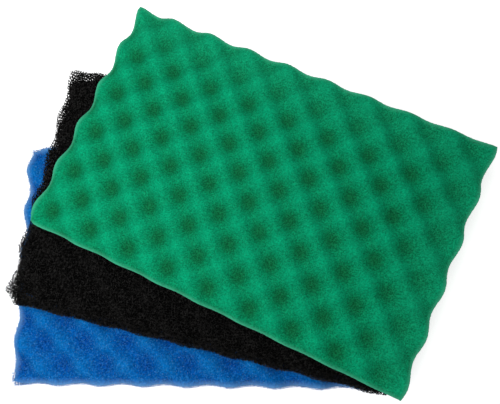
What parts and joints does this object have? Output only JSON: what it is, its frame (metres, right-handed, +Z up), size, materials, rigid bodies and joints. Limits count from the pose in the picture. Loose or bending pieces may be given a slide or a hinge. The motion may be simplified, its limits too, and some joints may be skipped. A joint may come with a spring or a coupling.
{
  "type": "pond filter sponge set",
  "caption": "Fan-stacked sheets of open-cell convoluted filter foam, coarse, medium and fine, with an egg-crate face on top and a flat base, for a pond filter box.",
  "frame": {"origin": "under the middle of the fanned stack, on the plane that the lowest sheet rests on", "axes": "+Z up, out of the bumpy faces; +X along the lowest sheet's long side; +Y across it, away from the corner that the sheets share"},
  "size_m": [0.5428, 0.4386, 0.0756],
  "materials": {
    "blue_foam": "matte",
    "black_foam": "matte",
    "green_foam": "matte"
  },
  "bodies": {
    "blue_sheet": {"blue_medium_foam": "blue_foam"},
    "black_sheet": {"black_coarse_foam": "black_foam"},
    "green_sheet": {"green_fine_foam": "green_foam"}
  },
  "joints": [
    {"name": "black_lift", "type": "slide", "parent": "blue_sheet", "child": "black_sheet", "axis": [0, 0, 1], "range_m": [0, 0.15]},
    {"name": "green_lift", "type": "slide", "parent": "black_sheet", "child": "green_sheet", "axis": [0, 0, 1], "range_m": [0, 0.15]}
  ]
}
